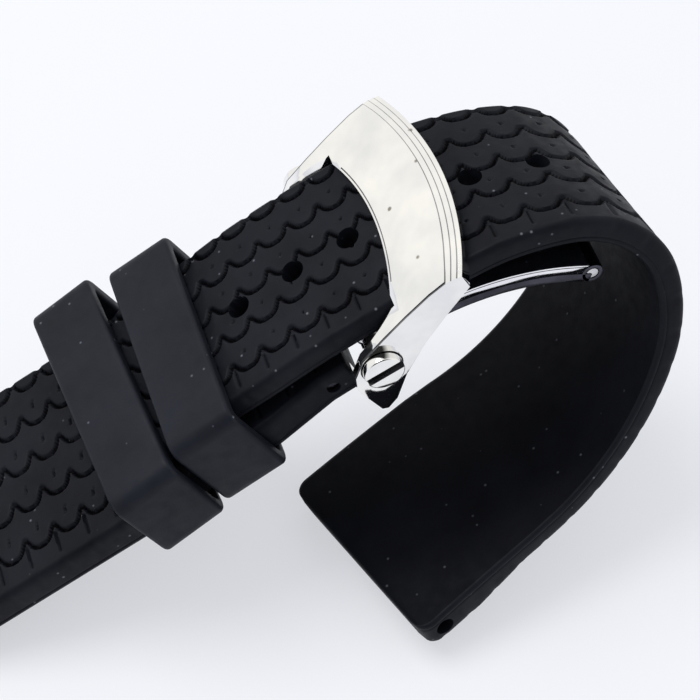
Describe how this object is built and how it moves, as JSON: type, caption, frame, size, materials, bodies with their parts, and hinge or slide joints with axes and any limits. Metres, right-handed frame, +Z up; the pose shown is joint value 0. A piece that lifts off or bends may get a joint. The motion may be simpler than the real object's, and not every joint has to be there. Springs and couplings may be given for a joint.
{
  "type": "watch strap",
  "caption": "Two-piece black rubber watch strap with a tyre-tread face, loop keepers and a folding steel clasp under a curved buckle plate.",
  "frame": {"origin": "centre of the spring bar tunnel in the short strap's lug end", "axes": "+X along the closed strap towards the loop, +Y along the short strap's spring bar, +Z up from the surface that the strap lies on"},
  "size_m": [0.0926, 0.0365, 0.0389],
  "materials": {
    "rubber": "satin moulded rubber",
    "polished_steel": "mirror polished",
    "blade_steel": "polished sheet",
    "pin_steel": "turned"
  },
  "bodies": {
    "lower_clasp": {"short_strap": "rubber", "fixed_keeper": "rubber", "strap_pin": "pin_steel", "strap_pin_sleeve": "pin_steel", "lower_blade": "blade_steel", "latch_stud": "pin_steel", "hinge_pin": "pin_steel"},
    "loose_keeper": {"free_keeper": "rubber"},
    "upper_clasp": {"upper_blade": "blade_steel", "latch_spring": "pin_steel", "long_strap": "rubber"},
    "buckle": {"buckle_frame": "polished_steel", "frame_bar": "pin_steel", "buckle_peg": "polished_steel", "bar_screws": "polished_steel"}
  },
  "joints": [
    {"name": "keeper_slide", "type": "slide", "parent": "lower_clasp", "child": "loose_keeper", "axis": [0.8554, 0, 0.518], "range_m": [-0.006, 0.0003]},
    {"name": "clasp_fold", "type": "hinge", "parent": "lower_clasp", "child": "upper_clasp", "pos_m": [0.08273, 0, 0.02806], "axis": [0, 1, 0], "range_deg": [0, 15], "deforming": ["long_strap"]},
    {"name": "buckle_swing", "type": "hinge", "parent": "upper_clasp", "child": "buckle", "pos_m": [0.06181, 0, 0.02688], "axis": [0, -1, 0], "range_deg": [0, 75], "deforming": ["long_strap"]}
  ]
}
